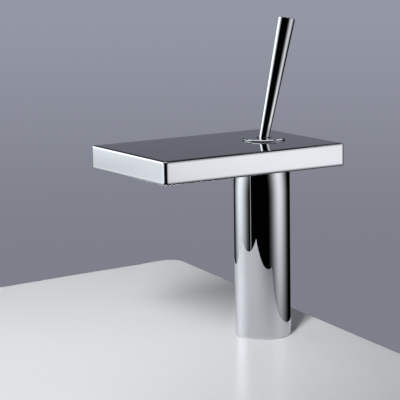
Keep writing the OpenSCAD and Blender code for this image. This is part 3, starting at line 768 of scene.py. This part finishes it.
def diffuser(name, middle, halves, strength, tint, shift, crown_shift, crown, power, seam=None):
    """Lit cloth, brightest along its middle and fading to both sides and towards its foot.

    Bearings are in degrees. The brightest place shifts sideways where the spout sees the cloth,
    and again near its crown, where its light changes by the share crown. A seam is a narrow
    bright gap in the cloth's lower part.
    """
    graph = material_graph(name)
    point = graph.node("TexCoord", out="Object")
    x, y, height = (graph.node("SeparateXYZ", None, {0: point}, out=axis) for axis in "XYZ")
    bearing = y.math("ARCTAN2", x) * degrees(1)
    belt = height.ramp(*BELT_IN) - height.ramp(*BELT_OUT)
    offset = bearing - middle - shift * belt - crown_shift * height.ramp(*CROWN_TURN)
    fade = (offset.ramp(-halves[0], 0) * offset.ramp(halves[1], 0)).math("POWER", power)
    rise = height.ramp(*CLOTH_FOOT) + crown * height.ramp(*CROWN)
    light = strength * fade * rise
    if seam:
        beside = (bearing - seam).math("ABSOLUTE")
        light = light + SEAM_LIGHT * beside.ramp(SEAM_HALF, 0) * height.ramp(*SEAM_FADE)
    return graph.glow(tint, light)


def black_cloth():
    """Light-proof cloth with a faint weave."""
    graph = material_graph("black_cloth")
    weave = graph.noise(graph.place(), 30, 3)
    black = graph.blend(weave, tone(0.003, 0.003, 0.0035), tone(0.005, 0.005, 0.006))
    return graph.finish(NOT_METAL, specular=0.0, Base_Color=black,
                        Roughness=weave.between(0.9, 1.0))


def cards():
    """Two lit cloths and the dark between them, which give bright metal its bands."""
    left, right = VIEW_BEARING + LEFT_CLOTH, VIEW_BEARING + RIGHT_CLOTH
    left_glow = diffuser("left_glow", left, halves=(50, 50), strength=1.75,
                         tint=tone(0.93, 0.97, 1), shift=10, crown_shift=-6, crown=0.2,
                         power=1, seam=SEAM)
    right_glow = diffuser("right_glow", right, halves=(53, 61), strength=1.44,
                          tint=tone(0.97, 0.98, 1), shift=-8, crown_shift=0, crown=-0.33,
                          power=1.5)
    card("left_cloth", left + LEFT_START, left + LEFT_END, left_glow)
    card("right_cloth", right + RIGHT_START, right + RIGHT_END, right_glow)
    card("front_flag", left + LEFT_END, right + RIGHT_START, black_cloth())
    for name, middle, flag in (("left_flag", left, LEFT_FLAG), ("right_flag", right, RIGHT_FLAG)):
        card(name, middle + flag[0], middle + flag[1], black_cloth(), high=FLAG_HIGH)


def ceiling_panels():
    """Bright panels high overhead, which only the bevelled edges see."""
    graph = material_graph("ceiling_glow")
    cloud = graph.noise(graph.place(), 3, 1)
    glow = graph.glow(tone(0.95, 0.97, 1), PANEL_LIGHT + PANEL_CLOUD * cloud)
    bm = bmesh.new()
    toward = Matrix.Rotation(radians(VIEW_BEARING), 3, "Z")
    for panel in PANELS:
        bm.faces.new([bm.verts.new(toward @ Vector((x, y, PANEL_Z))) for x, y in panel])
    made = stage_object("ceiling_panels", bm, glow)
    hide_from_camera(made)
    made.visible_diffuse = False


def soft_world():
    """A plain grey-blue surround that darkens towards the floor and overhead."""
    world = bpy.data.worlds.new("surround")
    bpy.context.scene.world = world
    graph = Graph(world)
    direction = graph.node("TexCoord", out="Generated")
    height = graph.node("SeparateXYZ", None, {0: direction}, out="Z")
    wall = graph.blend(height.ramp(*SURROUND_RISE), SURROUND_LOW, SURROUND)
    colour = graph.blend(height.ramp(*SURROUND_DIM), wall, SURROUND_OVERHEAD)
    backdrop = graph.node("Background", None, {"Color": colour, "Strength": 1.0})
    graph.node("OutputWorld", None, {"Surface": backdrop})


def key_light():
    """One tall, narrow lamp, to the left of the camera and above it, aimed before the spout."""
    lamp = bpy.data.lights.new("key", "AREA")
    lamp.shape = "RECTANGLE"
    lamp.size, lamp.size_y = LAMP_SIZE
    lamp.spread = LAMP_SPREAD
    lamp.energy = LAMP_POWER
    made = scene_object("key", lamp)
    made.location = LAMP_PLACE
    made.visible_glossy = False
    made.rotation_euler = (LAMP_AIM - made.location).to_track_quat("-Z", "Y").to_euler()


def camera():
    """A long lens, a little above the spout and off its front corner."""
    azimuth, elevation = radians(CAMERA_AZIMUTH), radians(CAMERA_ELEVATION)
    roll = radians(CAMERA_ROLL)
    back = Vector((sin(azimuth) * cos(elevation), -cos(azimuth) * cos(elevation), sin(elevation)))
    right = Vector((cos(azimuth), sin(azimuth), 0))
    up = back.cross(right)
    tilted_right = right * cos(roll) + up * sin(roll)
    tilted_up = up * cos(roll) - right * sin(roll)
    turn_to = Matrix((tilted_right, tilted_up, back)).transposed().to_4x4()
    data = bpy.data.cameras.new("camera")
    data.sensor_width = SENSOR
    data.lens = SENSOR * FOCAL_PIXELS / PICTURE_PIXELS
    data.clip_start, data.clip_end = CAMERA_NEAR, CAMERA_FAR
    made = scene_object("camera", data)
    made.matrix_world = Matrix.Translation(CAMERA_AIM + back * CAMERA_DISTANCE) @ turn_to
    bpy.context.scene.camera = made


# ---------------------------------------------------------------- the whole scene

finish_frame()
spout_cover()
underside_screws()
column_sleeve()
foot_gasket_ring()
lever_pin()
lever_cover_disc()
lever_seal_ring()
threaded_stud()
deck()
cards()
ceiling_panels()
soft_world()
key_light()
camera()
bpy.context.scene.view_settings.view_transform = "Standard"
